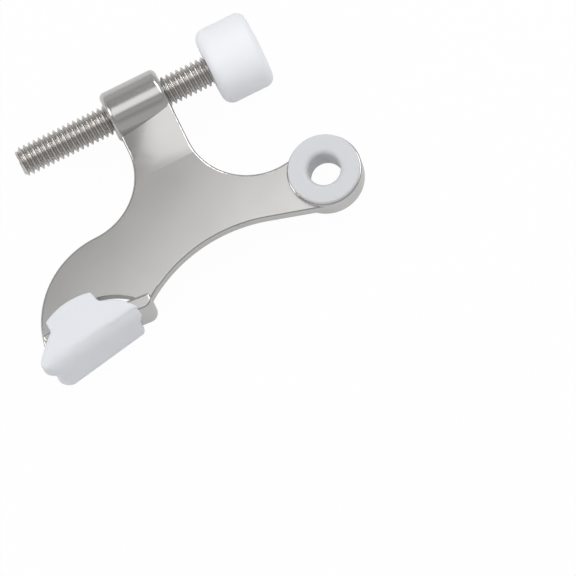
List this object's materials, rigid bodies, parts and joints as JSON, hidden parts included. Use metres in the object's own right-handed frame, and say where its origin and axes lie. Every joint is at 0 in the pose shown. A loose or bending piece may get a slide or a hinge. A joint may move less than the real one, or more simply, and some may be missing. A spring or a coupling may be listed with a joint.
{
  "type": "hinge pin door stop",
  "caption": "Y-shaped cast hinge pin door stop with a bushed eye, a threaded adjusting stud with a rubber bumper and a foot with a rubber boot.",
  "frame": {"origin": "middle of the hinge pin bore, halfway along the bushing", "axes": "+Z along the hinge pin toward the bushing's flange, +X along the adjusting stud toward its bumper, +Y from the eye toward the stud"},
  "size_m": [0.0964, 0.0691, 0.0208],
  "materials": {
    "satin_nickel": "satin nickel plating on a zinc casting",
    "plated_steel": "bright plated steel",
    "white_nylon": "matte white plastic",
    "white_rubber": "smooth white rubber"
  },
  "bodies": {
    "stop": {"cast_body": "satin_nickel", "pin_bushing": "white_nylon", "foot_boot": "white_rubber"},
    "tip": {"stud_bumper": "white_rubber"},
    "stud": {"adjusting_stud": "plated_steel"}
  },
  "joints": [
    {"name": "tip_advance", "type": "slide", "parent": "stop", "child": "tip", "axis": [1, 0, 0], "range_m": [-0.0124, 0.0241]},
    {"name": "stud_turn", "type": "hinge", "parent": "tip", "child": "stud", "pos_m": [-0.035, 0.0397, 0], "axis": [1, 0, 0], "range_deg": [-3170, 6150]}
  ],
  "couplings": [
    {"joint": "stud_turn", "follows": "tip_advance", "rad_per_m": 4452.6}
  ]
}
